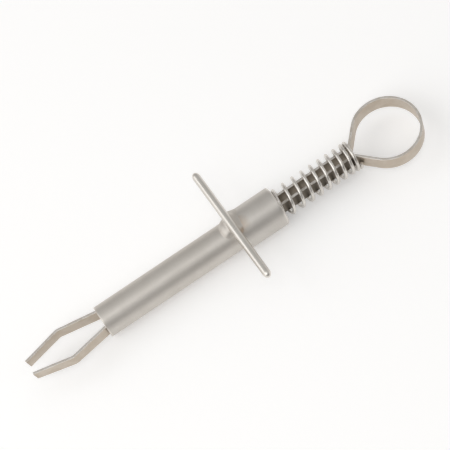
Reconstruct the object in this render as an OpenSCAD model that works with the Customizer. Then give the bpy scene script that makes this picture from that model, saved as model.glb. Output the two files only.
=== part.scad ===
// Spring-loaded finger gripper with a thumb ring, in stainless steel.
// One flat strip is bent double: its bend is the thumb ring, its two legs run through the
// return spring and the barrel, and its ends come out of the mouth as the two jaws.
// Pulling the finger bar towards the ring pushes the jaws out, and they open.
// Millimetres. The tool's axis lies along X and the ring is at its +X end.
// The origin is the centre of the barrel's mouth. +Z is the side that carries the finger bar.

/* [Barrel] */
// Outside diameter of the barrel tube
barrel_od = 6.35; // [5.8:0.05:7.6]
// Wall of the barrel tube
barrel_wall = 0.5; // [0.35:0.05:0.6]
// Length of the barrel tube, from the mouth to its end inside the collar
barrel_length = 35.2; // [30:0.1:40]
// Rounding of the barrel tube's edges
barrel_edge = 0.12; // [0.05:0.01:0.16]

/* [Collar] */
// Wall of the collar, which is a second tube pushed over the barrel's end
collar_wall = 0.76; // [0.5:0.02:1]
// Overall length of the collar
collar_length = 8.7; // [7:0.1:12]
// Depth of the spring cup, from the collar's rear rim to the barrel's end
cup_depth = 3.6; // [2.6:0.1:5]
// Rounding of the collar's outer rim at the rear
collar_edge = 0.35; // [0.15:0.05:0.45]
// Gap that the braze fills between the brazed pieces
braze_gap = 0.03; // [0.02:0.01:0.06]

/* [Finger bar] */
// Diameter of the round bar that the fingers pull on
bar_diameter = 1.58; // [1.2:0.02:2.2]
// Length of the finger bar over its rounded ends
bar_length = 26.4; // [20:0.2:34]
// Length of the rounded nose at each end of the finger bar
bar_nose = 1.1; // [0.8:0.1:2]

/* [Strip] */
// Thickness of the flat strip
strip_thickness = 0.5; // [0.4:0.02:0.6]
// Width of the flat strip in the ring and the legs
strip_width = 3.3; // [2.6:0.1:3.4]
// Clear gap between the two legs
leg_gap = 1.5; // [1.1:0.05:1.7]
// Inside diameter of the thumb ring
ring_bore = 12.5; // [10:0.1:18]
// Angle of each leg to the axis where it opens into the ring
neck_angle = 48; // [44:1:56]
// Bend radius of the strip's middle at the neck
neck_radius = 0.8; // [0.6:0.05:1.2]
// Distance of the neck behind the barrel's mouth
neck_reach = 55.2; // [50:0.2:60]

/* [Jaws] */
// Width of the strip at the jaw tips
tip_width = 2.4; // [1.8:0.1:3]
// Reach of the jaw tips in front of the mouth
tip_reach = 15.5; // [13:0.1:19]
// Reach of the jaws' bend in front of the mouth
bend_reach = 7.9; // [6:0.1:10]
// How much further the +Z corner of each tip reaches than its -Z corner
tip_slant = 0.3; // [0:0.05:0.6]
// Clear gap between the tips
tip_gap = 2.3; // [2.2:0.1:3.5]
// Bend radius of the strip's middle at the jaws' bend
bend_radius = 1.6; // [1:0.1:3]
// Angle by which each jaw spreads from the axis, behind its bend
spread_angle = 10; // [8:0.5:12]
// Radial clearance between the jaws' edges and the barrel's bore at the mouth
mouth_clearance = 0.08; // [0.05:0.01:0.15]

/* [Return spring] */
// Wire diameter of the return spring
wire = 0.7; // [0.5:0.02:0.8]
// Radial clearance between the return spring and the collar's bore
spring_clearance = 0.1; // [0.08:0.01:0.25]
// Open turns of the return spring
open_turns = 9; // [6:1:9]
// Close turns at each end of the return spring
close_turns = 1.5; // [1:0.25:1.5]
// Pitch of the close turns
close_pitch = 1.14; // [1.12:0.01:1.3]
// Share by which the open pitch grows towards the barrel and shrinks towards the ring
pitch_drift = 0.16; // [0:0.01:0.2]

/* [Hidden] */
$fn = 72;

// Barrel and collar
barrel_r = barrel_od / 2;
bore_r = barrel_r - barrel_wall;
collar_bore_r = barrel_r + braze_gap;
collar_r = collar_bore_r + collar_wall;
collar_rear = barrel_length + cup_depth;
collar_front = collar_rear - collar_length;
collar_small_edge = collar_wall / 5;

// Finger bar: it lies across the barrel's +Z side, against the collar's front rim
bar_r = bar_diameter / 2;
bar_x = collar_front - braze_gap - bar_r;
bar_z = barrel_r + braze_gap + bar_r;
nose_steps = 8;

// Braze: a round mound in front of the bar and a bead behind it, over the collar's rim
mound_r = barrel_r / 2;
mound_y = 0.5;
mound_z = bar_z - bar_r - mound_r * 0.4;
bead_r = collar_wall * 0.8;
bead_half = collar_r * 0.56;
bead_x = collar_front + bead_r * 0.3;
bead_z = collar_r - bead_r * 0.45;

// Strip: the middle of each leg, and the ring's centre behind the neck
half_t = strip_thickness / 2;
leg_y = leg_gap / 2 + half_t;
ring_mid_r = ring_bore / 2 + half_t;
neck_rise = neck_radius * (1 - cos(neck_angle));
neck_straight = (ring_mid_r * cos(neck_angle) - leg_y - neck_rise) / sin(neck_angle);
ring_x = neck_reach + (neck_radius + ring_mid_r) * sin(neck_angle)
    + neck_straight * cos(neck_angle);

// Jaws: the strip narrows from a little way inside the mouth to the tips. Each jaw starts
// where its leg begins to spread, at the depth that brings its edges to the bore's wall at
// the mouth.
taper_reach = barrel_r * 1.5;
taper = (strip_width - tip_width) / (taper_reach + tip_reach);
mouth_width = strip_width - taper * taper_reach;
taper_rear = taper_reach + strip_thickness;
rear_width = strip_width + taper * strip_thickness;
mouth_outer = sqrt(pow(bore_r - mouth_clearance, 2) - pow(mouth_width / 2, 2));
mouth_y = mouth_outer - half_t / cos(spread_angle);
root_x = (mouth_y - leg_y) / tan(spread_angle);
bend_y = mouth_y + bend_reach * tan(spread_angle);
tip_y = tip_gap / 2 + half_t;
close_angle = atan((bend_y - tip_y) / (tip_reach - bend_reach));
bend_turn = spread_angle + close_angle;
bend_cut = bend_radius * tan(bend_turn / 2);
spread_length = (root_x + bend_reach) / cos(spread_angle) - bend_cut;
tip_length = (tip_reach - bend_reach) / cos(close_angle) - bend_cut;
root_gap = 0.05;
tongue = strip_thickness / 3;
tongue_share = 0.6;
leg_front = root_x + half_t + root_gap;

// Return spring: it sits on the barrel's end inside the cup, and against the neck
wire_r = wire / 2;
coil_r = collar_bore_r - spring_clearance - wire_r;
seat_gap = 0.04;
spring_front = barrel_length + wire_r + seat_gap;
neck_outer_r = neck_radius - half_t;
edge_y = sqrt(pow(coil_r, 2) - pow(strip_width / 2, 2));
neck_line_x = neck_reach + neck_outer_r * sin(neck_angle);
neck_line_y = leg_y + neck_radius - neck_outer_r * cos(neck_angle);
spring_rear = neck_line_x + (edge_y - neck_line_y) / tan(neck_angle)
    - (wire_r + seat_gap) / sin(neck_angle);
turns = open_turns + 2 * close_turns;
open_length = spring_rear - spring_front - 2 * close_turns * close_pitch;
open_pitch = open_length / open_turns;
rings_per_turn = 8;
wire_sides = 6;
rear_end_angle = 170;

// How far in front of its rear end the wire has come after u turns
function advance(u) =
    u < close_turns ? u * close_pitch
    : u > close_turns + open_turns
        ? close_turns * close_pitch + open_length
            + (u - close_turns - open_turns) * close_pitch
    : let (v = u - close_turns, share = v / open_turns)
        close_turns * close_pitch
            + open_pitch * v * (1 - pitch_drift * (1 - share));

function coil_angle(u) = rear_end_angle + 360 * u;
function coil_point(u) = [
    spring_rear - advance(u),
    coil_r * cos(coil_angle(u)),
    coil_r * sin(coil_angle(u))
];
function unit(v) = v / norm(v);

// A profile of a tube's wall for rotate_extrude, from height 0 to length, with each of
// its two outer edges rounded by its own radius and its inner edges by a third one
function arc_points(centre, r, from, to, steps = 6) = [
    for (i = [0 : steps])
        let (a = from + (to - from) * i / steps)
        [centre[0] + r * cos(a), centre[1] + r * sin(a)]
];
function wall_profile(r_in, r_out, length, low, high, inner) = concat(
    arc_points([r_in + inner, inner], inner, 180, 270),
    arc_points([r_out - low, low], low, 270, 360),
    arc_points([r_out - high, length - high], high, 0, 90),
    arc_points([r_in + inner, length - inner], inner, 90, 180)
);

// A tube along X with rounded edges
module tube_along_x(x, r_in, r_out, length, low, high, inner) {
    translate([x, 0, 0])
        rotate([0, 90, 0])
            rotate_extrude()
                polygon(wall_profile(r_in, r_out, length, low, high, inner));
}

// The outline, seen along Z, of a straight length of strip from the origin along +X.
// A tongue inside the strip's thickness reaches past both ends, so that it fuses with the
// bends there.
module line_outline(length) {
    translate([0, -half_t])
        square([length, strip_thickness]);
    translate([-tongue, -half_t * tongue_share])
        square([length + 2 * tongue, strip_thickness * tongue_share]);
}

// The outline of a bend of the strip about the origin, between two angles less than 180 apart
module bend_outline(radius, from, to) {
    far = 2 * (radius + strip_thickness);
    intersection() {
        strip_circle(radius);
        polygon([
            [0, 0],
            for (share = [0 : 0.5 : 1])
                let (a = from + (to - from) * share)
                far * [cos(a), sin(a)]
        ]);
    }
}

// The outline of a whole circle of strip
module strip_circle(radius) {
    difference() {
        circle(r = radius + half_t);
        circle(r = radius - half_t);
    }
}

module barrel_tube() {
    color("#b9b5ae")
        tube_along_x(0, bore_r, barrel_r, barrel_length,
            barrel_edge, barrel_edge, barrel_edge);
}

module collar() {
    color("#bdb9b2")
        tube_along_x(collar_front, collar_bore_r, collar_r, collar_length,
            collar_small_edge, collar_edge, collar_small_edge);
}

module finger_bar() {
    nose = [
        for (i = [0 : nose_steps])
            let (a = 90 * i / nose_steps)
            [bar_r * cos(a), bar_length / 2 - bar_nose + bar_nose * sin(a)]
    ];
    tail = [for (i = [nose_steps : -1 : 0]) [nose[i][0], -nose[i][1]]];
    color("#d2cfca")
        translate([bar_x, 0, bar_z])
            rotate([90, 0, 0])
                rotate_extrude()
                    polygon(concat(tail, nose));
}

// What the braze lies round: the barrel, the bar and the collar's outside
module brazed_pieces() {
    translate([-1, 0, 0])
        rotate([0, 90, 0])
            cylinder(h = barrel_length, r = barrel_r + braze_gap / 2);
    translate([bar_x, bar_length / 2, bar_z])
        rotate([90, 0, 0])
            cylinder(h = bar_length, r = bar_r + braze_gap / 2);
    translate([collar_front - braze_gap / 2, 0, 0])
        rotate([0, 90, 0])
            cylinder(h = collar_length, r = collar_r + braze_gap / 2);
}

module braze_fillets() {
    side = concat(
        arc_points([0, bead_half], bead_r, 90, 0, nose_steps),
        arc_points([0, -bead_half], bead_r, 0, -90, nose_steps)
    );
    color("#c4c1ba")
        difference() {
            union() {
                translate([bar_x - bar_r, mound_y, mound_z])
                    rotate([90, 0, 0])
                        sphere(r = mound_r);
                translate([bead_x, 0, bead_z])
                    rotate([90, 0, 0])
                        rotate_extrude()
                            polygon(side);
            }
            brazed_pieces();
        }
}

module return_spring() {
    rings = turns * rings_per_turn;
    path = [for (i = [0 : rings]) coil_point(i / rings_per_turn)];
    first = unit(path[0] - path[1]);
    last = unit(path[rings] - path[rings - 1]);
    line = concat([path[0] + wire_r * first], path, [path[rings] + wire_r * last]);
    count = len(line);
    gaps = [
        for (i = [0 : count - 1], j = [i + 4 : 1 : count - 1])
            norm(line[i] - line[j]) - wire
    ];
    echo(str("return_spring: least gap to itself ", min(gaps), " mm"));
    points = [
        for (i = [0 : count - 1])
            let (
                ahead = unit(line[min(i + 1, count - 1)] - line[max(i - 1, 0)]),
                outward = unit([0, line[i][1], line[i][2]]),
                side = unit(cross(ahead, outward)),
                up = cross(side, ahead)
            )
            for (k = [0 : wire_sides - 1])
                let (a = 360 * k / wire_sides)
                line[i] + wire_r * (cos(a) * up + sin(a) * side)
    ];
    walls = [
        for (i = [0 : count - 2], k = [0 : wire_sides - 1])
            let (
                near = i * wire_sides,
                far = near + wire_sides,
                next = (k + 1) % wire_sides
            )
            each [
                [near + k, near + next, far + k],
                [near + next, far + next, far + k]
            ]
    ];
    tail = (count - 1) * wire_sides;
    caps = [
        for (k = [1 : wire_sides - 2])
            each [[0, k + 1, k], [tail, tail + k, tail + k + 1]]
    ];
    color("#d8d4cd")
        polyhedron(points = points, faces = concat(walls, caps));
}

// The outline of the leg on the +Y side, with its bend at the neck and its straight run to
// the ring. The leg's front end is cut square.
module leg_outline() {
    intersection() {
        union() {
            translate([leg_front, leg_y])
                line_outline(neck_reach - leg_front);
            translate([neck_reach, leg_y + neck_radius])
                bend_outline(neck_radius, -90, neck_angle - 90);
            translate([neck_reach + neck_radius * sin(neck_angle), leg_y + neck_rise])
                rotate(neck_angle)
                    line_outline(neck_straight);
        }
        translate([leg_front, 0])
            square([ring_x, ring_bore]);
    }
}

// The outline of the ring, which is open towards the neck
module ring_outline() {
    far = 2 * (ring_mid_r + strip_thickness);
    difference() {
        strip_circle(ring_mid_r);
        polygon([
            [0, 0],
            for (a = [90 + neck_angle, 180, 270 - neck_angle])
                far * [cos(a), sin(a)]
        ]);
    }
}

module thumb_ring() {
    color("#b0a598")
        linear_extrude(height = strip_width, center = true) {
            leg_outline();
            mirror([0, 1])
                leg_outline();
            translate([ring_x, 0])
                ring_outline();
        }
}

// The outline of the jaw on the +Y side, which runs past its tip. Its round rear end turns
// on the leg's front end.
module jaw_outline() {
    translate([root_x, leg_y])
        rotate(180 - spread_angle) {
            circle(r = half_t);
            line_outline(spread_length);
            translate([spread_length, bend_radius]) {
                bend_outline(bend_radius, -90, bend_turn - 90);
                rotate(bend_turn)
                    translate([0, -bend_radius])
                        line_outline(tip_length + tip_slant);
            }
        }
}

// The jaw on the +Y side. A prism along Y cuts its tapered edges and its slanted tip.
module jaw() {
    intersection() {
        linear_extrude(height = 2 * strip_width, center = true)
            jaw_outline();
        rotate([90, 0, 0])
            linear_extrude(height = 3 * bend_y, center = true)
                polygon([
                    [taper_rear, rear_width / 2],
                    [-tip_reach - tip_slant / 2, tip_width / 2],
                    [-tip_reach + tip_slant / 2, -tip_width / 2],
                    [taper_rear, -rear_width / 2]
                ]);
    }
}

module upper_jaw() {
    color("#b3a899")
        jaw();
}

module lower_jaw() {
    color("#b3a899")
        mirror([0, 1, 0])
            jaw();
}

barrel_tube();
collar();
finger_bar();
braze_fillets();
return_spring();
thumb_ring();
upper_jaw();
lower_jaw();
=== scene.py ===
"""Spring-loaded finger gripper: the finished look of its steel pieces around the fixed frame."""

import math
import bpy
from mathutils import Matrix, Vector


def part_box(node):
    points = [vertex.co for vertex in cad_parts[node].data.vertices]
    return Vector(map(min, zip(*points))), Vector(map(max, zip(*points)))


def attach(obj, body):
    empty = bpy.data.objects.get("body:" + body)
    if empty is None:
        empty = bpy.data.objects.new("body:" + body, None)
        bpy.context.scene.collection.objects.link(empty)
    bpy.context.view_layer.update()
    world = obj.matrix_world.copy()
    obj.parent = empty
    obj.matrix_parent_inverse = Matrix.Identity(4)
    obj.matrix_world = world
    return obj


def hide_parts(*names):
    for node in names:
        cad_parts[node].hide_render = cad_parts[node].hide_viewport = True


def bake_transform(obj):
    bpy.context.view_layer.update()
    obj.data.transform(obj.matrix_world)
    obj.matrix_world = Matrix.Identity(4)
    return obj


bl_info = {
    "name": "Finger Gripper",
    "version": (1, 0, 0),
    "blender": (4, 5, 0),
    "location": "3D View > Sidebar > Finger Gripper",
    "description": "Builds a spring-loaded finger gripper piece by piece, with its steel finishes",
    "category": "Add Mesh",
}

from dataclasses import dataclass
from functools import partialmethod

import bmesh
import bpy
import numpy as np
from bpy.props import FloatProperty, FloatVectorProperty, IntProperty, PointerProperty
from bpy.types import NodeSocket, Operator, Panel, PropertyGroup
from mathutils import Matrix, Vector

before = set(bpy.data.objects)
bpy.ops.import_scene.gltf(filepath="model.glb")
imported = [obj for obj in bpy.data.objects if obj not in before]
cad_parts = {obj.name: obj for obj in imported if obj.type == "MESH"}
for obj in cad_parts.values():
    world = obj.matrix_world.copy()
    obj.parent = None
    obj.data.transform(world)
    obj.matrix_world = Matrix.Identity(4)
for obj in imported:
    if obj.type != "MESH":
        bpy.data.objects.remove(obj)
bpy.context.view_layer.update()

MM = 0.001
BARREL_LOW, BARREL_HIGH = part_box("barrel_tube")
COLLAR_LOW, COLLAR_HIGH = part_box("collar")
BAR_LOW, BAR_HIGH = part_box("finger_bar")
BAR = (BAR_LOW + BAR_HIGH) / 2
BAR_RADIUS = (BAR_HIGH.x - BAR_LOW.x) / 2

SIDES = 128  # of a turned shape
ARC_STEPS = 7  # of a rounded edge
EDGE_STEPS = 4  # of the strip's eased edges
END_STEPS = 3  # of the strip's eased ends
NOSE_STEPS = 14  # of the bar's bullet nose
SUPPORT = 0.22 * MM  # from a rounding to the plain points beside it
NORMAL_WEIGHT = 80  # how strongly the broad faces rule the shading
CAP_ANGLE = math.radians(40)  # edges sharper than this stay hard on the spring
END_ANGLE = math.radians(50)  # edges sharper than this are eased on the strip


# ---- Sizes and colours that a user would change ----
def length(name, description, default, low=0.0, high=1.0):
    """A length in metres."""
    return FloatProperty(
        name=name, description=description, default=default, min=low, max=high,
        precision=5, unit="LENGTH", subtype="DISTANCE",
    )


def angle(name, description, default):
    """An angle, given here in degrees and kept in radians."""
    return FloatProperty(
        name=name, description=description, default=math.radians(default),
        unit="ROTATION", subtype="ANGLE",
    )


def number(name, description, default, low=0.0, high=100.0):
    """A plain number or a share."""
    return FloatProperty(name=name, description=description, default=default, min=low, max=high)


def count(name, description, default):
    """A whole number."""
    return IntProperty(name=name, description=description, default=default)


def colour(name, description, default):
    """A linear colour."""
    return FloatVectorProperty(
        name=name, description=description, default=default, size=3, min=0.0, max=1.0, subtype="COLOR"
    )


class TubeSizes(PropertyGroup):
    barrel_wall: length("Barrel Wall", "Wall of the barrel tube", 0.5 * MM)
    barrel_lip: length("Barrel Lip", "Rounding of the barrel's edges", 0.13 * MM)
    collar_wall: length("Collar Wall", "Wall of the collar", 0.76 * MM)
    collar_rim: length("Collar Rim", "Rounding of the collar's rear rim", 0.36 * MM)
    collar_edge: length("Collar Edge", "Rounding of the collar's other edges", 0.15 * MM)


class BarSizes(PropertyGroup):
    nose: length("Nose", "Length of the bullet nose at each end of the bar", 1.1 * MM)


class BrazeSizes(PropertyGroup):
    mound_short: length("Mound Short Radius", "Radius of the mound across its length", 1.75 * MM)
    mound_long: length("Mound Long Radius", "Radius of the mound along its length", 2.35 * MM)
    mound_rise: length("Mound Rise", "Rise of the mound over its own middle", 1.75 * MM)
    mound_turn: angle("Mound Turn", "Turn of the mound's length out of the bar's direction", 30)
    mound_side: length("Mound Offset", "How far the mound's middle lies towards +Y", 0.5 * MM)
    mound_middle: length("Mound Middle", "Height of the mound's middle over the axis", 2.2 * MM)
    bead_height: length("Bead Height", "Height of the bead behind the bar over the collar", 0.42 * MM)
    bead_reach: length("Bead Reach", "Reach of the bead along the collar", 2.1 * MM)
    fillet: length("Fillet", "Reach of the fillet between the bar and the collar", 1.5 * MM)
    fillet_half: length("Fillet Half Length", "Half the fillet's length along the bar", 3.1 * MM)
    flow: length("Flow", "How softly the mound runs into its neighbours", 0.16 * MM)
    cell: length("Cell", "Cell of the grid that the braze is formed on", 0.07 * MM)


class SpringSizes(PropertyGroup):
    wire: length("Wire Diameter", "Diameter of the spring's wire", 0.7 * MM)
    outside: length("Outside Diameter", "Outside diameter of the spring", 6.21 * MM)
    open_turns: number("Open Turns", "Turns with a gap between them", 9.0)
    close_turns: number("Close Turns", "Touching turns against the neck", 1.5)
    seat_turns: number("Seat Turns", "Touching turns in the cup", 2.5)
    close_pitch: length("Close Pitch", "Pitch of the touching turns", 0.725 * MM)
    drift: number("Pitch Drift", "Share by which the pitch grows towards the barrel", 0.2)
    end_angle: angle("End Angle", "Angle at which the rear end of the wire stops", 170)
    reach: length("Reach", "Reach of the spring behind its seat in the cup", 20.19 * MM)
    seat_gap: length("Seat Gap", "Clear gap between the spring and the barrel's end", 0.04 * MM)
    turn_rings: count("Rings per Turn", "Rings of points in one turn", 40)
    wire_sides: count("Wire Sides", "Sides of the wire", 20)


class StripSizes(PropertyGroup):
    thickness: length("Thickness", "Thickness of the flat strip", 0.5 * MM)
    width: length("Width", "Width of the strip in the ring and legs", 3.3 * MM)
    edge: length("Edge Radius", "Rounding of the strip's edges", 0.06 * MM)
    leg_gap: length("Leg Gap", "Clear gap between the two legs", 1.5 * MM)
    ring_bore: length("Ring Bore", "Inside diameter of the thumb ring", 12.5 * MM)
    neck_angle: angle("Neck Angle", "Angle of each leg where it opens into the ring", 48)
    neck_radius: length("Neck Radius", "Bend radius at the neck", 0.8 * MM)
    neck_reach: length("Neck Reach", "Distance of the neck behind the mouth", 55.2 * MM)
    root_gap: length("Root Gap", "Gap between each leg and its jaw", 0.05 * MM)


class JawSizes(PropertyGroup):
    tip_width: length("Tip Width", "Width of the strip at the tips", 2.4 * MM)
    tip_reach: length("Tip Reach", "Reach of the tips in front of the mouth", 15.5 * MM)
    bend_reach: length("Bend Reach", "Reach of the bend in front of the mouth", 7.9 * MM)
    tip_slant: length("Tip Slant", "How much further the +Z corner reaches", 0.3 * MM)
    tip_gap: length("Tip Gap", "Clear gap between the tips", 2.3 * MM)
    bend_radius: length("Bend Radius", "Bend radius of the jaws", 1.6 * MM)
    spread: angle("Spread", "Angle by which each jaw spreads behind its bend", 10)
    clearance: length("Mouth Clearance", "Clearance of the jaws in the mouth", 0.08 * MM)
    root_back: length("Root Back", "Reach of each jaw behind the bend at its root", 0.18 * MM)


class FinishColours(PropertyGroup):
    barrel: colour("Barrel", "Steel of the barrel", (0.64, 0.605, 0.56))
    collar: colour("Collar", "Steel of the collar", (0.63, 0.60, 0.56))
    bar: colour("Bar", "Steel of the finger bar", (0.69, 0.66, 0.615))
    braze: colour("Braze", "Flowed braze metal", (0.60, 0.565, 0.52))
    wire: colour("Wire", "Spring wire", (0.72, 0.69, 0.65))
    strip: colour("Strip", "Rolled strip", (0.58, 0.51, 0.43))
    floor: colour("Floor", "Pale floor", (0.93, 0.925, 0.92))


class StageLook(PropertyGroup):
    floor_size: length("Floor Size", "Side of the floor", 3.0, high=10.0)
    key_power: number("Key Power", "Power of the soft lamp overhead, in watts", 0.73)
    window_power: number("Window Power", "Power of the window beyond the jaws, in watts", 2.1)
    distance: length("Camera Distance", "Distance of the camera", 0.35)
    elevation: angle("Elevation", "Elevation of the camera", 62)
    towards_jaws: angle("Towards Jaws", "Turn of the camera towards the jaws", 4.6)
    roll: angle("Roll", "Angle of the tool in the picture", 33.72)
    lens: number("Lens", "Focal length in millimetres", 152.0, high=500.0)


SETTINGS = {
    "gripper_tubes": TubeSizes,
    "gripper_bar": BarSizes,
    "gripper_braze": BrazeSizes,
    "gripper_spring": SpringSizes,
    "gripper_strip": StripSizes,
    "gripper_jaws": JawSizes,
    "gripper_finish": FinishColours,
    "gripper_stage": StageLook,
}


# ---- Node trees ----
class Wiring:
    """Adds nodes to a tree and links them. A value may be a number or another node's socket."""

    def __init__(self, tree):
        self.tree = tree
        self.count = 0

    def add(self, kind, inputs=None, **settings):
        node = self.tree.nodes.new(kind)
        node.location = (180 * (self.count % 12), -220 * (self.count // 12))
        self.count += 1
        for key, value in settings.items():
            setattr(node, key, value)
        for key, value in (inputs or {}).items():
            self.feed(node.inputs[key], value)
        return node

    def feed(self, socket, value):
        if isinstance(value, NodeSocket):
            self.tree.links.new(value, socket)
        else:
            socket.default_value = value

    def get(self, output, kind, inputs=None, **settings):
        """One output of a new node."""
        return self.add(kind, inputs, **settings).outputs[output]

    def math(self, operation, *values, clamp=False):
        inputs = dict(enumerate(values))
        return self.get(0, "ShaderNodeMath", inputs, operation=operation, use_clamp=clamp)

    plus = partialmethod(math, "ADD")
    minus = partialmethod(math, "SUBTRACT")
    times = partialmethod(math, "MULTIPLY")
    over = partialmethod(math, "DIVIDE")
    times_plus = partialmethod(math, "MULTIPLY_ADD")

    def remap(self, value, low, high, to_low=0.0, to_high=1.0, smooth=False):
        limits = {"From Min": low, "From Max": high, "To Min": to_low, "To Max": to_high}
        inputs = {"Value": value, **limits}
        way = "SMOOTHSTEP" if smooth else "LINEAR"
        return self.get("Result", "ShaderNodeMapRange", inputs, interpolation_type=way)

    smooth = partialmethod(remap, smooth=True)

    def mix(self, share, a, b):
        """The colour between a and b."""
        return self.get(2, "ShaderNodeMix", {"Factor": share, 6: a, 7: b}, data_type="RGBA")

    def shade(self, colour, saturation, value):
        inputs = {"Saturation": saturation, "Value": value, "Color": colour}
        return self.get("Color", "ShaderNodeHueSaturation", inputs)

    def noise(self, vector, scale, detail=0.0, **more):
        inputs = {"Vector": vector, "Scale": scale, "Detail": detail, **more}
        return self.get("Fac", "ShaderNodeTexNoise", inputs)

    def scaled(self, vector, scale):
        """The vector, scaled along each axis by its own number."""
        inputs = {0: vector, 1: scale}
        return self.get("Vector", "ShaderNodeVectorMath", inputs, operation="MULTIPLY")

    def vector(self, x=0.0, y=0.0, z=0.0):
        return self.get(0, "ShaderNodeCombineXYZ", {"X": x, "Y": y, "Z": z})

    def parts(self, vector):
        """The vector's X, Y and Z."""
        return self.add("ShaderNodeSeparateXYZ", {0: vector}).outputs

    def mark(self, name, output="Fac"):
        """A value that the mesh keeps at its points, for a shader."""
        return self.get(
            output, "ShaderNodeAttribute", attribute_type="GEOMETRY", attribute_name=name
        )

    def kept(self, name, kind="FLOAT"):
        """A value that the mesh keeps at its points, for a geometry tree."""
        inputs = {"Name": name}
        return self.get("Attribute", "GeometryNodeInputNamedAttribute", inputs, data_type=kind)

    def keep(self, geometry, name, value, kind="FLOAT"):
        """The geometry, with a value kept at each of its points."""
        node_kind = "GeometryNodeStoreNamedAttribute"
        inputs = {"Geometry": geometry, "Name": name, "Value": value}
        return self.get("Geometry", node_kind, inputs, data_type=kind, domain="POINT")

    def position(self):
        return self.get("Position", "GeometryNodeInputPosition")

    def moved(self, geometry, place):
        inputs = {"Geometry": geometry, "Position": place}
        return self.get("Geometry", "GeometryNodeSetPosition", inputs)

    def swept(self, line, profile):
        """The mesh that the profile leaves along the line, closed at its ends."""
        inputs = {"Curve": line, "Profile Curve": profile, "Fill Caps": True}
        return self.get("Mesh", "GeometryNodeCurveToMesh", inputs)

    def finished(self, geometry, finish, out):
        """Ends a geometry tree: smooth, real, and with its material."""
        for kind, more in (
            ("GeometryNodeSetShadeSmooth", {}),
            ("GeometryNodeRealizeInstances", {}),
            ("GeometryNodeSetMaterial", {"Material": finish}),
        ):
            geometry = self.get("Geometry", kind, {"Geometry": geometry, **more})
        self.feed(out["Geometry"], geometry)


# The kinds of the groups' sockets. Any other is a plain number.
SOCKETS = {
    "Vector": "NodeSocketVector",
    "Centre": "NodeSocketVector",
    "Color": "NodeSocketColor",
    "Tint": "NodeSocketColor",
    "Geometry": "NodeSocketGeometry",
    "Rings per Turn": "NodeSocketInt",
    "Wire Sides": "NodeSocketInt",
    "Finish": "NodeSocketMaterial",
}


def node_group(kind, inputs, outputs):
    """Turns a function that wires a node group into one that gives the group, wired once."""

    def wrap(wire):
        def group():
            name = f"gripper_{wire.__name__}"
            tree = bpy.data.node_groups.get(name)
            if tree is None:
                tree = bpy.data.node_groups.new(name, kind)
                for way, labels in (("INPUT", inputs), ("OUTPUT", outputs)):
                    for label in labels:
                        socket_type = SOCKETS.get(label, "NodeSocketFloat")
                        tree.interface.new_socket(label, in_out=way, socket_type=socket_type)
                w = Wiring(tree)
                wire(w, w.add("NodeGroupInput").outputs, w.add("NodeGroupOutput").inputs)
            return tree

        return group

    return wrap


def shader_group(inputs, outputs):
    return node_group("ShaderNodeTree", inputs, outputs)


def geometry_group(*sizes):
    return node_group("GeometryNodeTree", ["Geometry", *sizes, "Finish"], ["Geometry"])


def empty_tree(owner):
    """The wiring of a material's or a world's node tree, with nothing in it yet."""
    owner.use_nodes = True
    owner.node_tree.nodes.clear()
    return Wiring(owner.node_tree)


@shader_group(["Vector"], ["Height", "Streak"])
def metal_grain(w, given, out):
    """Fine lines left by grinding or drawing: a height, and a streak that breaks up the gloss."""
    broad_share, broad_scale = 0.35, (0.21, 0.21, 0.21)
    fine = w.noise(given["Vector"], scale=1.0, detail=3.0)
    broad = w.noise(w.scaled(given["Vector"], broad_scale), scale=1.0, detail=2.0)
    height = w.plus(w.times(fine, 1.0 - broad_share), w.times(broad, broad_share))
    w.feed(out["Height"], height)
    w.feed(out["Streak"], w.times(w.minus(height, 0.5), 2.0))


@shader_group(["Vector", "Color", "Patch Scale", "Amount"], ["Color"])
def tone_variation(w, given, out):
    """Slow changes of tone over a piece, as handled steel has."""
    rough = {"detail": 4.0, "Roughness": 0.55, "Distortion": 0.3}
    patches = w.noise(given["Vector"], given["Patch Scale"], **rough)
    dull = w.shade(given["Color"], saturation=1.18, value=0.86)
    clear = w.shade(given["Color"], saturation=0.85, value=1.06)
    tinted = w.mix(w.smooth(patches, 0.36, 0.66), dull, clear)
    w.feed(out["Color"], w.mix(given["Amount"], given["Color"], tinted))


@shader_group(["Rim", "Vector"], ["Mask"])
def edge_wear(w, given, out):
    """Edges rubbed bright and painted brighter as a highlight: a rim mask, broken up so that this
    comes and goes.
    """
    speckle = w.noise(given["Vector"], scale=900.0, detail=3.0)
    least = 0.45
    patchy = w.smooth(speckle, 0.35, 0.6, least, 1.0)
    w.feed(out["Mask"], w.times(given["Rim"], patchy, clamp=True))


@shader_group(["Vector"], ["Scratch", "Smudge"])
def handling_marks(w, given, out):
    """A few hair scratches and faint smudges from handling."""
    hair_axis, hair_stretch, hair_width = (0.2, 0.3, 0.93), (0.1, 1.0, 1.0), 0.006
    line = 0.0
    for turn, fineness in ((0.3, 620.0), (-0.8, 480.0)):
        inputs = {"Vector": given["Vector"], "Axis": hair_axis, "Angle": turn}
        turned = w.get("Vector", "ShaderNodeVectorRotate", inputs, rotation_type="AXIS_ANGLE")
        hair = w.noise(w.scaled(turned, hair_stretch), fineness)
        off = w.math("ABSOLUTE", w.minus(hair, 0.5))
        line = w.math("MAXIMUM", line, w.smooth(off, 0.0, hair_width, 1.0, 0.0))
    few = w.smooth(w.noise(given["Vector"], scale=420.0), 0.56, 0.66)
    w.feed(out["Scratch"], w.times(line, few))
    w.feed(out["Smudge"], w.minus(w.noise(given["Vector"], scale=190.0, detail=5.0), 0.5))


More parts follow.
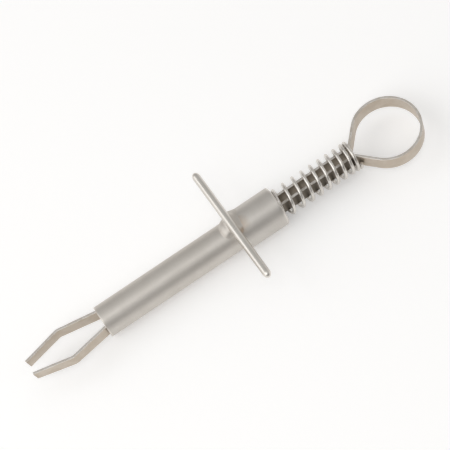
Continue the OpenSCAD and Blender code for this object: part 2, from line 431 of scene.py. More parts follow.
@shader_group(["Vector", "Color", "Tint", "Centre", "Reach", "Amount"], ["Color"])
def heat_tint(w, given, out):
    """The straw tint that brazing leaves round a joint: a colour that fades with distance."""
    ends = {0: given["Vector"], 1: given["Centre"]}
    away = w.get("Value", "ShaderNodeVectorMath", ends, operation="DISTANCE")
    ragged = w.minus(w.noise(given["Vector"], scale=700.0, detail=3.0), 0.5)
    uneven = w.plus(w.over(away, given["Reach"]), ragged)
    full_until = 0.25
    strength = w.times(w.smooth(uneven, full_until, 1.0, 1.0, 0.0), given["Amount"])
    w.feed(out["Color"], w.mix(strength, given["Color"], given["Tint"]))


def shared(w, group, **inputs):
    """What a shader group gives. Its inputs are named in lower case here."""
    node = w.add("ShaderNodeGroup", node_tree=group())
    for label, value in inputs.items():
        w.feed(node.inputs[label.replace("_", " ").title()], value)
    return node.outputs


# ---- The steels ----
@dataclass(frozen=True)
class Finish:
    """How one of the steels is finished.

    lines_follow is "object", or "wire" or "strip" where the lines run along those. rim is
    "turned" or "strip" where edges are rubbed bright and painted brighter as a highlight.
    heat is (centre, reach, amount), and each of shaded is a stretch of painted shade:
    (start, end, brightness of the outer face, of the inner face) along X.
    """

    roughness: float
    line_scale: tuple
    line_depth: float
    gloss_break: float = 0.12
    patch_scale: float = 260.0
    tone: float = 0.5
    lines_follow: str = "object"
    rim: str = "turned"
    edge_colour: tuple = ()
    heat: tuple = ()
    shaded: tuple = ()


TUBE_LINES = ((14000, 900, 900), 0.0000016)
JOINT_SPOT = tuple(Vector((30.6, -0.9, 3.9)) * MM)
STRAW_SPOT = tuple(Vector((30.5, -2.2, 3.4)) * MM)
STRAW = (0.74, 0.60, 0.47)
# Bright edges are partly rubbed wear and partly a painted highlight, most on the strip's cut edges.
EDGE_ROUGHNESS, EDGE_SHARE = 0.25, 0.8  # of a bright edge, and how much of it shows
EDGE_GAIN, EDGE_LIFT = 1.18, 0.02  # from a steel's colour to that of its edges
CUT_EDGE = (0.93, 0.985)  # where the strip's edge begins and is full, as a share of its half width
SMUDGE_GLOSS, SCRATCH_GLOSS = 1.2, 0.1  # a smudge is a share of the lines' own break
SCRATCH_STRENGTH, SCRATCH_DEPTH = 0.6, 1.5  # the depth is a share of the lines' own
LINE_SPAN = (1.6 * MM, 0.25 * MM)  # about half the strip's width and thickness, for its lines
SHADE_FADE, SHADE_SATURATION = 1.5 * MM, 1.2
# Stretches of painted shade on the strip's faces: inside the coil, and at the tips.
PAINTED_SHADE_IN_COIL = (0.0345, 0.0565, 0.62, 0.32)
PAINTED_SHADE_AT_TIPS = (-0.0200, -0.0146, 0.8, 0.8)

FINISHES = {
    "barrel": Finish(0.5, *TUBE_LINES, tone=0.16, heat=(JOINT_SPOT, 0.0030, 0.12)),
    "collar": Finish(0.48, *TUBE_LINES, tone=0.2, heat=(JOINT_SPOT, 0.0022, 0.5)),
    "bar": Finish(0.33, (2600, 700, 2600), 0.0000007, gloss_break=0.06, tone=0.2),
    "braze": Finish(
        0.52,
        (1500, 1500, 1500),
        0.0000020,
        patch_scale=520.0,
        tone=0.35,
        rim="",
        heat=(STRAW_SPOT, 0.0010, 0.7),
    ),
    "wire": Finish(
        0.27, (9000, 9000, 260), 0.0000012, gloss_break=0.08, lines_follow="wire", rim=""
    ),
    "strip": Finish(
        0.42,
        (420, 12000, 900),
        0.0000018,
        patch_scale=340.0,
        lines_follow="strip",
        rim="strip",
        # The strip's cut edges: rubbed bright, and painted lighter than the faces as a highlight.
        edge_colour=(0.80, 0.77, 0.73),
        shaded=(PAINTED_SHADE_IN_COIL, PAINTED_SHADE_AT_TIPS),
    ),
}


def line_place(w, finish, place):
    """Where a point lies along and across the lines of its surface."""
    if finish.lines_follow == "strip":
        spans = zip(("across", "through"), LINE_SPAN)
        return w.vector(w.mark("run"), *(w.times(w.mark(name), span) for name, span in spans))
    if finish.lines_follow == "wire":
        return w.mark("wire_place", "Vector")
    return place


def rim_mask(w, finish):
    """1 on the edges that wear and are painted brighter as a highlight, 0 elsewhere."""
    if finish.rim == "turned":
        return w.mark("rim")
    if finish.rim == "strip":
        return w.smooth(w.math("ABSOLUTE", w.mark("across")), *CUT_EDGE)
    return 0.0


def shade_faces(w, paint, place, start, end, outer, inner):
    """Paints shade on the strip's faces from start to end along X: inside the coil, where the spring
    shades them, and at the tips.
    """
    x = w.parts(place)["X"]
    enter = w.smooth(x, start, start + SHADE_FADE)
    leave = w.smooth(x, end - SHADE_FADE, end, 1.0, 0.0)
    side = w.remap(w.mark("through"), -1.0, 1.0)
    dark = w.shade(paint, SHADE_SATURATION, w.times_plus(side, outer - inner, inner))
    return w.mix(w.times(enter, leave), paint, dark)


def steel_paint(w, finish, tint, place, wear_and_sheen):
    """The steel's colour, with its patches, heat tint, painted shade on the strip's faces, and bright
    edges that are partly worn and partly a painted highlight.
    """
    patches = {"patch_scale": finish.patch_scale, "amount": finish.tone}
    paint = shared(w, tone_variation, vector=place, color=(*tint, 1.0), **patches)["Color"]
    if finish.heat:
        heat = dict(zip(("centre", "reach", "amount"), finish.heat))
        straw = tuple(c * k for c, k in zip(tint, STRAW)) + (1.0,)
        paint = shared(w, heat_tint, vector=place, color=paint, tint=straw, **heat)["Color"]
    # Painted shade on the strip's faces.
    for stretch in finish.shaded:
        paint = shade_faces(w, paint, place, *stretch)
    edge = finish.edge_colour or tuple(min(1.0, c * EDGE_GAIN + EDGE_LIFT) for c in tint)
    # The edges are painted brighter: partly wear, partly a painted highlight.
    return w.mix(w.times(wear_and_sheen, EDGE_SHARE), paint, (*edge, 1.0))


def steel_gloss(w, finish, streak, marks, wear_and_sheen):
    """The steel's roughness, broken up by its lines, smudges and scratches, smoother on edges."""
    gloss = w.plus(finish.roughness, w.times(streak, finish.gloss_break))
    gloss = w.plus(gloss, w.times(marks["Smudge"], finish.gloss_break * SMUDGE_GLOSS))
    gloss = w.minus(gloss, w.times(marks["Scratch"], SCRATCH_GLOSS))
    rubbed = w.times(wear_and_sheen, EDGE_ROUGHNESS - finish.roughness)
    return w.plus(gloss, w.times(rubbed, EDGE_SHARE), clamp=True)


def steel_relief(w, finish, height, scratch):
    """The normal of the lines in the steel, cut by the scratches."""
    depth = finish.line_depth
    inputs = {"Strength": 1.0, "Distance": depth, "Height": height}
    lines = w.get("Normal", "ShaderNodeBump", inputs)
    inputs = {"Strength": SCRATCH_STRENGTH, "Distance": depth * SCRATCH_DEPTH, "Height": scratch}
    return w.get("Normal", "ShaderNodeBump", {**inputs, "Normal": lines}, invert=True)


def steel(context, key):
    """The material of one of the steels, built once from the shared groups."""
    name = f"gripper_{key}_steel"
    material = bpy.data.materials.get(name)
    if material is not None:
        return material
    tint = getattr(settings(context, "finish"), key)
    finish = FINISHES[key]
    material = bpy.data.materials.new(name)
    w = empty_tree(material)
    material.diffuse_color = (*tint, 1.0)
    place = w.get("Object", "ShaderNodeTexCoord")
    lines = w.scaled(line_place(w, finish, place), finish.line_scale)
    grain = shared(w, metal_grain, vector=lines)
    marks = shared(w, handling_marks, vector=place)
    wear_and_sheen = shared(w, edge_wear, vector=place, rim=rim_mask(w, finish))["Mask"]
    shader = w.get(
        "BSDF",
        "ShaderNodeBsdfPrincipled",
        {
            "Base Color": steel_paint(w, finish, tint, place, wear_and_sheen),
            "Roughness": steel_gloss(w, finish, grain["Streak"], marks, wear_and_sheen),
            "Metallic": 1.0,
            "Normal": steel_relief(w, finish, grain["Height"], marks["Scratch"]),
        },
    )
    w.add("ShaderNodeOutputMaterial", {"Surface": shader})
    return material


# ---- Geometry trees of the spring and the strip ----
def coil_pitch(w, given, turn, reach):
    """The pitch at each point: the close one at the ends, a wider, drifting one between them."""
    closed_turns = w.plus(given["Close Turns"], given["Seat Turns"])
    closed = w.times(closed_turns, given["Close Pitch"])
    open_pitch = w.over(w.minus(reach, closed), given["Open Turns"])
    opens = given["Close Turns"]
    closes = w.plus(opens, given["Open Turns"])
    share = w.over(w.minus(turn, opens), given["Open Turns"], clamp=True)
    least = w.minus(1.0, given["Pitch Drift"])
    drifted = w.times_plus(share, w.times(given["Pitch Drift"], 2.0), least)
    ease = 0.3
    rise = w.smooth(turn, w.minus(opens, ease), w.plus(opens, ease))
    fall = w.smooth(turn, w.minus(closes, ease), w.plus(closes, ease), 1.0, 0.0)
    gain = w.minus(w.times(open_pitch, drifted), given["Close Pitch"])
    return w.plus(given["Close Pitch"], w.times(gain, w.times(rise, fall)))


def coil_line(w, given, coil_radius):
    """The middle line of the wire, with the distance along it kept at its points."""
    ends = w.plus(given["Close Turns"], given["Seat Turns"])
    turns = w.plus(given["Open Turns"], ends)
    rings = w.plus(w.times(turns, given["Rings per Turn"]), 1.0)
    straight = w.get("Curve", "GeometryNodeCurvePrimitiveLine")
    line = w.get("Curve", "GeometryNodeResampleCurve", {"Curve": straight, "Count": rings})
    index = w.get("Index", "GeometryNodeInputIndex")
    turn = w.over(index, given["Rings per Turn"])
    reach = w.minus(given["Rear"], given["Front"])
    pitch = coil_pitch(w, given, turn, reach)
    summed = w.add("GeometryNodeAccumulateField", {"Value": pitch}, data_type="FLOAT").outputs
    full = w.minus(summed["Total"], given["Close Pitch"])
    gone = w.times(w.over(summed["Trailing"], full), reach)
    turned = w.times_plus(turn, 2.0 * math.pi, given["End Angle"])
    place = w.vector(
        w.minus(given["Rear"], gone),
        w.times(coil_radius, w.math("COSINE", turned)),
        w.times(coil_radius, w.math("SINE", turned)),
    )
    run = w.times(w.times(turn, 2.0 * math.pi), coil_radius)
    return w.keep(w.moved(line, place), "run", run)


@geometry_group(
    "Wire Diameter", "Outside Diameter", "Front", "Rear", "Open Turns", "Close Turns",
    "Seat Turns", "Close Pitch", "Pitch Drift", "End Angle", "Rings per Turn", "Wire Sides",
)
def coil_spring(w, given, out):
    """A compression spring along X: open turns between touching end turns."""
    coil_radius = w.over(w.minus(given["Outside Diameter"], given["Wire Diameter"]), 2.0)
    line = coil_line(w, given, coil_radius)
    section = {"Resolution": given["Wire Sides"], "Radius": w.over(given["Wire Diameter"], 2.0)}
    circle = w.get("Curve", "GeometryNodeCurvePrimitiveCircle", section, mode="RADIUS")
    wire = w.swept(line, w.keep(circle, "round", w.position(), "FLOAT_VECTOR"))
    place = {0: w.kept("round", "FLOAT_VECTOR"), 1: w.vector(z=w.kept("run"))}
    place = w.get("Vector", "ShaderNodeVectorMath", place, operation="ADD")
    w.finished(w.keep(wire, "wire_place", place, "FLOAT_VECTOR"), given["Finish"], out)


def strip_section(w, given):
    """The strip's section with eased edges. It keeps how far across and through a point lies."""
    size = {"Width": given["Thickness"], "Height": given["Width"]}
    flat = w.get("Curve", "GeometryNodeCurvePrimitiveQuadrilateral", size, mode="RECTANGLE")
    edge = {"Radius": given["Edge Radius"], "Count": EDGE_STEPS, "Limit Radius": True}
    section = w.get("Curve", "GeometryNodeFilletCurve", {"Curve": flat, **edge}, mode="POLY")
    corner = w.parts(w.position())
    for name, at, size in (("across", "Y", "Width"), ("through", "X", "Thickness")):
        section = w.keep(section, name, w.over(corner[at], w.over(given[size], 2.0)))
    return section


def narrowed_place(w, given):
    """Where the swept strip's points go, as it narrows to its tip and the tip is cut at a slant."""
    here = w.parts(w.position())
    share = w.remap(here["X"], given["Taper Start"], given["Tip"])
    narrowing = w.over(given["Tip Width"], given["Width"])
    height = w.times(here["Z"], w.times_plus(share, w.minus(narrowing, 1.0), 1.0))
    slope = w.over(given["Tip Slant"], given["Tip Width"])
    near_tip = 12.0
    lean = w.times(w.times(height, slope), w.math("POWER", share, near_tip))
    return w.vector(w.minus(here["X"], lean), here["Y"], height)


@geometry_group("Thickness", "Width", "Edge Radius", "Taper Start", "Tip", "Tip Width", "Tip Slant")
def flat_strip(w, given, out):
    """A flat strip along a line of points, narrowing to its tip."""
    path = w.get("Curve", "GeometryNodeMeshToCurve", {"Mesh": given["Geometry"]})
    upright = w.get("Curve", "GeometryNodeSetCurveNormal", {"Curve": path}, mode="Z_UP")
    ran = w.get("Length", "GeometryNodeSplineParameter")
    blank = w.swept(w.keep(upright, "run", ran), strip_section(w, given))
    w.finished(w.moved(blank, narrowed_place(w, given)), given["Finish"], out)


# ---- Meshes ----
def new_piece(name, points, faces, values=None, edges=()):
    """A mesh object at the origin, its faces pointing outwards, with named values at its points."""
    mesh = bpy.data.meshes.new(name)
    mesh.from_pydata([tuple(p) for p in points], list(edges), faces)
    for label, numbers in (values or {}).items():
        layer = mesh.attributes.new(label, "FLOAT", "POINT")
        layer.data.foreach_set("value", np.asarray(numbers, np.float32))
    if faces:
        shape = bmesh.new()
        shape.from_mesh(mesh)
        bmesh.ops.recalc_face_normals(shape, faces=shape.faces)
        shape.to_mesh(mesh)
        shape.free()
        mesh.polygons.foreach_set("use_smooth", [True] * len(mesh.polygons))
    obj = bpy.data.objects.new(name, mesh)
    bpy.context.scene.collection.objects.link(obj)
    return obj


def labelled(group):
    """The values of a group of settings, by their labels."""
    labels = group.bl_rna.properties
    return {labels[key].name: getattr(group, key) for key in type(group).__annotations__}


def run_tree(obj, tree, values):
    """Gives the object a geometry tree, with each of the tree's inputs set by its label."""
    modifier = obj.modifiers.new(tree.name, "NODES")
    modifier.node_group = tree
    for item in tree.interface.items_tree:
        if item.in_out == "INPUT" and item.name != "Geometry":
            modifier[item.identifier] = values[item.name]


def keep_result(obj):
    """Turns what the modifiers make into the object's own plain mesh."""
    depsgraph = bpy.context.evaluated_depsgraph_get()
    depsgraph.update()
    made = bpy.data.meshes.new_from_object(
        obj.evaluated_get(depsgraph), preserve_all_data_layers=True, depsgraph=depsgraph
    )
    obj.modifiers.clear()
    before = obj.data
    obj.data = made
    made.name = obj.name
    bpy.data.meshes.remove(before)


def even_normals(obj):
    """Lets the broad faces rule the shading, so that narrow roundings don't dish them."""
    weighted = obj.modifiers.new("even_normals", "WEIGHTED_NORMAL")
    weighted.mode = "FACE_AREA"
    weighted.weight = NORMAL_WEIGHT
    keep_result(obj)


def arc(centre, radius, start, end):
    """Points (radius, along, rim) of a rounding, from one angle to another in degrees."""
    made = []
    for i in range(ARC_STEPS + 1):
        a = math.radians(start + (end - start) * i / ARC_STEPS)
        made.append((centre[0] + radius * math.cos(a), centre[1] + radius * math.sin(a), 1.0))
    return made


def wall_profile(inner, outer, front, rear, low, high, inside):
    """A closed profile of a tube's wall. Each corner has its rounding and a plain point beside it."""
    step = min(SUPPORT, (outer - inner) / 5)
    wear_and_sheen = 0.6
    return (
        [(inner, front + inside + SUPPORT, 0.0)]
        + arc((inner + inside, front + inside), inside, 180, 270)
        + [(inner + inside + step, front, wear_and_sheen), (outer - low - step, front, wear_and_sheen)]
        + arc((outer - low, front + low), low, 270, 360)
        + [(outer, front + low + SUPPORT, 0.0), (outer, rear - high - SUPPORT, 0.0)]
        + arc((outer - high, rear - high), high, 0, 90)
        + [(outer - high - step / 4, rear, wear_and_sheen), (inner + inside + step / 4, rear, wear_and_sheen)]
        + arc((inner + inside, rear - inside), inside, 90, 180)
        + [(inner, rear - inside - SUPPORT, 0.0)]
    )


def lathe(name, profile, to_place, closed):
    """A turned shape: a tube's wall from a closed profile, a solid from one between two poles."""
    points, rims, rows = [], [], []
    for radius, along, rim in profile:
        count_here = 1 if radius < 1e-9 else SIDES
        rows.append(range(len(points), len(points) + count_here))
        for i in range(count_here):
            a = 2 * math.pi * i / SIDES
            points.append(to_place(radius * math.cos(a), radius * math.sin(a), along))
            rims.append(rim)
    faces = []
    for near, far in list(zip(rows, rows[1:])) + ([(rows[-1], rows[0])] if closed else []):
        for i in range(SIDES):
            j = (i + 1) % SIDES
            quad = [near[i % len(near)], near[j % len(near)], far[j % len(far)], far[i % len(far)]]
            faces.append(list(dict.fromkeys(quad)))
    return new_piece(name, points, faces, {"rim": rims})


def surface_points(value, grid):
    """One point for each cell of the grid that the surface crosses: (points, index of each cell)."""
    shape = tuple(n - 1 for n in value.shape)
    total = np.zeros(shape + (3,))
    hits = np.zeros(shape)
    corners = [(i, j, k) for i in (0, 1) for j in (0, 1) for k in (0, 1)]

    def at(array, c):
        return array[tuple(slice(c[d], c[d] + shape[d]) for d in range(3))]

    for a in corners:
        for axis in (d for d in range(3) if not a[d]):
            b = tuple(c + (d == axis) for d, c in enumerate(a))
            va, vb = at(value, a), at(value, b)
            crosses = (va < 0) != (vb < 0)
            t = np.where(crosses, va / np.where(crosses, va - vb, 1.0), 0.0)
            for d in range(3):
                pa, pb = at(grid[d], a), at(grid[d], b)
                total[..., d] += np.where(crosses, pa + t * (pb - pa), 0.0)
            hits += crosses
    used = hits > 0
    index = np.full(shape, -1)
    index[used] = np.arange(used.sum())
    return total[used] / hits[used][:, None], index


def surface_of(field, low, high, cell):
    """Points and faces of the surface where field(x, y, z) is 0. The field is negative inside."""
    axes = [np.arange(a, b + cell, cell) for a, b in zip(low, high)]
    grid = np.meshgrid(*axes, indexing="ij")
    value = field(*grid)
    points, index = surface_points(value, grid)
    faces = []
    for axis in range(3):
        first, second = [d for d in range(3) if d != axis]
        ahead = [slice(1, n - 1) for n in value.shape]
        ahead[axis] = slice(0, value.shape[axis] - 1)
        beyond = list(ahead)
        beyond[axis] = slice(1, value.shape[axis])
        edge = np.argwhere((value[tuple(ahead)] < 0) != (value[tuple(beyond)] < 0))
        base = edge + np.array([int(d != axis) for d in range(3)])
        ring = []
        for step_first, step_second in ((0, 0), (1, 0), (1, 1), (0, 1)):
            cell_at = base.copy()
            cell_at[:, first] -= step_first
            cell_at[:, second] -= step_second
            ring.append(index[tuple(cell_at.T)])
        faces += np.stack(ring, 1).tolist()
    return points, faces


def melt(a, b, reach):
    """The union of two distance fields, run together within reach."""
    h = np.clip(0.5 + 0.5 * (b - a) / reach, 0.0, 1.0)
    return b + (a - b) * h - reach * h * (1.0 - h)


def dress(context, obj, key):
    """Gives the piece one of the steels as its only material."""
    obj.data.materials.clear()
    obj.data.materials.append(steel(context, key))


def hand_over(obj, body, slot, *nodes):
    """Puts a finished piece on its body, in place of its frame nodes."""
    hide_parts(*nodes)
    if body:
        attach(obj, body)


def settings(context, key):
    return getattr(context.scene, f"gripper_{key}")


# ---- The tubes and the bar ----
def turn_tube(context, name, key, box, wall, front, rear, inside):
    """A tube as long and as wide as its frame node's box, with the roundings of its edges."""
    low, high = box
    profile = wall_profile(high.z - wall, high.z, low.x, high.x, front, rear, inside)
    shell = lathe(name, profile, lambda a, b, along: (along, a, b), True)
    dress(context, shell, key)
    even_normals(shell)
    return shell


class GRIPPER_OT_barrel(Operator):
    """Make the barrel tube with its rounded mouth"""

    bl_idname = "gripper.barrel"
    bl_label = "Barrel"

    def execute(self, context):
        tubes = settings(context, "tubes")
        lips = [tubes.barrel_lip] * 3
        shell = turn_tube(
            context, "barrel_shell", "barrel", (BARREL_LOW, BARREL_HIGH), tubes.barrel_wall, *lips
        )
        hand_over(shell, "barrel", "barrel_steel", "barrel_tube")
        return {"FINISHED"}


class GRIPPER_OT_collar(Operator):
    """Make the collar with the spring cup behind the barrel's end"""

    bl_idname = "gripper.collar"
    bl_label = "Collar"

    def execute(self, context):
        tubes = settings(context, "tubes")
        edges = (tubes.collar_edge, tubes.collar_rim, tubes.collar_edge)
        sleeve = turn_tube(
            context, "collar_sleeve", "collar", (COLLAR_LOW, COLLAR_HIGH), tubes.collar_wall, *edges
        )
        hand_over(sleeve, "barrel", "collar_steel", "collar")
        return {"FINISHED"}


class GRIPPER_OT_bar(Operator):
    """Make the finger bar with its bullet ends"""

    bl_idname = "gripper.bar"
    bl_label = "Finger Bar"

    def execute(self, context):
        nose = settings(context, "bar").nose
        flat = (BAR_HIGH.y - BAR_LOW.y) / 2 - nose
        half = [(BAR_RADIUS, flat - SUPPORT, 0.0)]
        for i in range(NOSE_STEPS + 1):
            a = math.radians(90 * i / NOSE_STEPS)
            radius = BAR_RADIUS * math.cos(a) if i < NOSE_STEPS else 0.0
            half.append((radius, flat + nose * math.sin(a), min(1.0, 0.15 * i)))
        profile = [(radius, -along, rim) for radius, along, rim in reversed(half)] + half
        bar = lathe("cross_bar", profile, lambda a, b, along: (BAR.x + a, along, BAR.z + b), False)
        dress(context, bar, "bar")
        hand_over(bar, "barrel", "bar_steel", "finger_bar")
        return {"FINISHED"}


# ---- The braze ----
BRAZE_SINK = 0.04 * MM  # how far the braze goes into the bar and the tubes
BRAZE_DEPTH = 0.22 * MM  # how far under the barrel's surface it ends
BRAZE_SEAM = 0.1 * MM  # how softly its two halves meet under the bar
BRAZE_UNDER_TOP = 0.2 * MM  # how far it stays under the bar's surface at the top
BRAZE_REACH = 3.2 * MM  # how far from the bar it ends along the tool
BRAZE_SIDE_SHARE = 0.68  # the fillet's half length, as a share of the braze's
BEAD_MIDDLE = math.radians(52)  # where the bead is highest, from +Z towards +Y
BEAD_HALF = math.radians(42)  # half the angle that it spans
BEAD_EASE = 1.6  # how softly it ends
FILLET_MIDDLE = 0.15 * MM  # where the fillet is widest, towards +Y
RIPPLE, RIPPLE_TURN, RIPPLE_START = 0.08, 2.1, 0.7  # how its width comes and goes
BRAZE_GRID_LOW = (BAR.x - BAR_RADIUS - 2.3 * MM, -4.3 * MM, 1.4 * MM)
BRAZE_GRID_HIGH = (COLLAR_LOW.x + 3.4 * MM, 4.3 * MM, 5.0 * MM)


def mound_field(braze):
    """The distance field of the round mound in front of the bar."""
    middle_x = BAR.x - BAR_RADIUS
    c, s = math.cos(braze.mound_turn), math.sin(braze.mound_turn)

    def field(x, y, z):
        dx, dy = x - middle_x, y - braze.mound_side
        share = (
            (c * dx - s * dy) / braze.mound_short,
            (s * dx + c * dy) / braze.mound_long,
            (z - braze.mound_middle) / braze.mound_rise,
        )
        return (np.sqrt(sum(part**2 for part in share)) - 1.0) * braze.mound_short

    return field


def bead_field(braze):
    """The distance field of the collar's surface, raised by the bead behind the bar."""
    front = COLLAR_LOW.x

    def field(x, y, z):
        bead = np.clip(1.0 - (x - front) / braze.bead_reach, 0.0, 1.0)
        bead *= np.clip(1.0 - ((np.arctan2(y, z) - BEAD_MIDDLE) / BEAD_HALF) ** 2, 0.0, 1.0)
        sleeve = np.sqrt(y**2 + z**2) - (COLLAR_HIGH.z - BRAZE_SINK)
        sleeve = sleeve - braze.bead_height * bead**BEAD_EASE
        return np.maximum(sleeve, front + BRAZE_SINK - x)

    return field


def braze_field(braze):
    """The distance field of the whole braze, negative inside."""
    mound, bead = mound_field(braze), bead_field(braze)

    def field(x, y, z):
        out = np.sqrt(y**2 + z**2)
        tube = out - (BARREL_HIGH.z - BRAZE_SINK)
        rod = np.sqrt((x - BAR.x) ** 2 + (z - BAR.z) ** 2) - (BAR_RADIUS - BRAZE_SINK)
        aside = (y - FILLET_MIDDLE) / braze.fillet_half
        reach = braze.fillet * np.clip(1.0 - aside**4, 0.02, 1.0)
        reach = reach * (1.0 + RIPPLE * np.sin(y / MM * RIPPLE_TURN + RIPPLE_START))
        ahead = melt(melt(mound(x, y, z), tube, braze.flow), rod, braze.flow * 3)
        joint = melt(melt(rod, bead(x, y, z), reach), ahead, BRAZE_SEAM)
        near = np.sqrt(((x - BAR.x) / BRAZE_REACH) ** 2 + (aside * BRAZE_SIDE_SHARE) ** 2) - 1.0
        joint = np.maximum(joint, near * MM)
        rise = np.clip((z - BAR.z) / (0.8 * BAR_RADIUS), 0.0, 1.0)
        return np.maximum(joint + BRAZE_UNDER_TOP * rise, BARREL_HIGH.z - BRAZE_DEPTH - out)

    return field


class GRIPPER_OT_braze(Operator):
    """Form the braze: a mound in front of the bar and a bead over the collar's rim"""

    bl_idname = "gripper.braze"
    bl_label = "Braze"

    def execute(self, context):
        braze = settings(context, "braze")
        grid = (BRAZE_GRID_LOW, BRAZE_GRID_HIGH, braze.cell)
        joint = new_piece("braze_joint", *surface_of(braze_field(braze), *grid))
        soften = joint.modifiers.new("soften", "SMOOTH")
        soften.factor = 0.5
        soften.iterations = 3
        keep_result(joint)
        dress(context, joint, "braze")
        hand_over(joint, "barrel", "braze_metal", "braze_fillets")
        return {"FINISHED"}


# ---- The spring ----
class GRIPPER_OT_spring(Operator):
    """Wind the return spring between the cup and the ring's neck"""

    bl_idname = "gripper.spring"
    bl_label = "Return Spring"

    def execute(self, context):
        spring = settings(context, "spring")
        front = BARREL_HIGH.x + spring.wire / 2 + spring.seat_gap
        coil = new_piece("spring_coil", [(0, 0, 0)], [])
        ends = {"Front": front, "Rear": front + spring.reach, "Finish": steel(context, "wire")}
        run_tree(coil, coil_spring(), {**labelled(spring), **ends})
        keep_result(coil)
        coil.data.set_sharp_from_angle(angle=CAP_ANGLE)
        hand_over(coil, None, "spring_wire", "return_spring")
        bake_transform(coil)
        return {"FINISHED"}


# ---- The strip, from one jaw tip round the ring to the other ----
TAPER_START = 1.5 * BARREL_HIGH.z  # how far behind the mouth the strip begins to narrow
TURN_STEP = math.radians(3)  # between the points of a bend
STRETCH = 0.6 * MM  # between the points of a straight run, at most


def heading_vector(heading):
    return Vector((math.cos(heading), math.sin(heading)))


def turtle(start, heading, moves):
    """Points along straight runs ("go", length) and bends ("turn", radius, angle)."""
    place = Vector(start)
    points = [place.copy()]
    for kind, *move in moves:
        if kind == "go":
            place = place + move[0] * heading_vector(heading)
            points.append(place.copy())
            continue
        radius, turned = move
        side = math.copysign(1.0, turned)
        centre = place + side * radius * Vector((-math.sin(heading), math.cos(heading)))
        spoke = place - centre
        steps = max(2, math.ceil(abs(turned) / TURN_STEP))
        for i in range(1, steps + 1):
            points.append(centre + Matrix.Rotation(turned * i / steps, 2) @ spoke)
        place = points[-1].copy()
        heading += turned
    return points


def jaw_line(context):
    """The +Y jaw's line in the XY plane, and how far behind the mouth the leg begins to spread."""
    tubes, strip, jaws = (settings(context, key) for key in ("tubes", "strip", "jaws"))
    half = strip.thickness / 2
    leg_y = strip.leg_gap / 2 + half
    taper = (strip.width - jaws.tip_width) / (TAPER_START + jaws.tip_reach)
    mouth_half = (strip.width - taper * TAPER_START) / 2
    bore = BARREL_HIGH.z - tubes.barrel_wall - jaws.clearance
    mouth_y = math.sqrt(bore**2 - mouth_half**2) - half / math.cos(jaws.spread)
    root_x = (mouth_y - leg_y) / math.tan(jaws.spread)
    bend_y = mouth_y + jaws.bend_reach * math.tan(jaws.spread)
    tip_y = jaws.tip_gap / 2 + half
    close = math.atan((bend_y - tip_y) / (jaws.tip_reach - jaws.bend_reach))
    bend = jaws.spread + close
    cut = jaws.bend_radius * math.tan(bend / 2)
    heading = math.pi - jaws.spread
    start = Vector((root_x, leg_y)) - jaws.root_back * heading_vector(heading)
    moves = (
        ("go", (root_x + jaws.bend_reach) / math.cos(jaws.spread) - cut + jaws.root_back),
        ("turn", jaws.bend_radius, bend),
        ("go", (jaws.tip_reach - jaws.bend_reach) / math.cos(close) - cut),
    )
    return turtle(start, heading, moves), root_x


def ring_line(strip, root_x):
    """The line of the two legs and the thumb ring between them."""
    half = strip.thickness / 2
    leg_y = strip.leg_gap / 2 + half
    ring_r = strip.ring_bore / 2 + half
    rise = strip.neck_radius * (1 - math.cos(strip.neck_angle))
    run = (ring_r * math.cos(strip.neck_angle) - leg_y - rise) / math.sin(strip.neck_angle)
    front = root_x + half + strip.root_gap
    leg = ("go", strip.neck_reach - front)
    neck = ("turn", strip.neck_radius, strip.neck_angle)
    ring = ("turn", ring_r, -(math.pi + 2 * strip.neck_angle))
    moves = (leg, neck, ("go", run), ring, ("go", run), neck, leg)
    return turtle((front, leg_y), 0.0, moves)


def spread_out(points):
    """The same line with extra points, so that no stretch of it is longer than STRETCH."""
    made = [points[0]]
    for a, b in zip(points, points[1:]):
        stretches = max(1, math.ceil((b - a).length / STRETCH))
        made += [a.lerp(b, i / stretches) for i in range(1, stretches + 1)]
    return made


def sweep_strip(context, name, line, tip):
    """A length of strip along a line in the XY plane, with its tip's sizes by their labels."""
    strip = settings(context, "strip")
    line = spread_out(line)
    edges = [(i, i + 1) for i in range(len(line) - 1)]
    obj = new_piece(name, [(p.x, p.y, 0.0) for p in line], [], edges=edges)
    more = {"Taper Start": TAPER_START, "Finish": steel(context, "strip")}
    run_tree(obj, flat_strip(), {**labelled(strip), **tip, **more})
    ease = obj.modifiers.new("ease_ends", "BEVEL")
    ease.limit_method = "ANGLE"
    ease.angle_limit = END_ANGLE
    ease.width = strip.edge
    ease.segments = END_STEPS
    keep_result(obj)
    even_normals(obj)
    return obj


class GRIPPER_OT_ring(Operator):
    """Bend the strip's two legs and the thumb ring between them"""

    bl_idname = "gripper.ring"
    bl_label = "Thumb Ring"

    def execute(self, context):
        strip = settings(context, "strip")
        _, root_x = jaw_line(context)
        no_tip = {"Tip": -1.0, "Tip Width": strip.width, "Tip Slant": 0.0}
        ring = sweep_strip(context, "ring_strip", ring_line(strip, root_x), no_tip)
        hand_over(ring, "plunger", "strip_steel", "thumb_ring")
        return {"FINISHED"}


class GRIPPER_OT_jaws(Operator):
    """Bend the two jaws and narrow them to their tips"""

    bl_idname = "gripper.jaws"
    bl_label = "Jaws"

    def execute(self, context):
        jaws = settings(context, "jaws")
        line, _ = jaw_line(context)
        tip = {**labelled(jaws), "Tip": -jaws.tip_reach}
        for side, name in ((1, "upper"), (-1, "lower")):
            sided = [Vector((p.x, side * p.y)) for p in line]
            blade = sweep_strip(context, f"{name}_blade", sided, tip)
            hand_over(blade, f"{name}_jaw_body", "strip_steel", f"{name}_jaw")
        return {"FINISHED"}


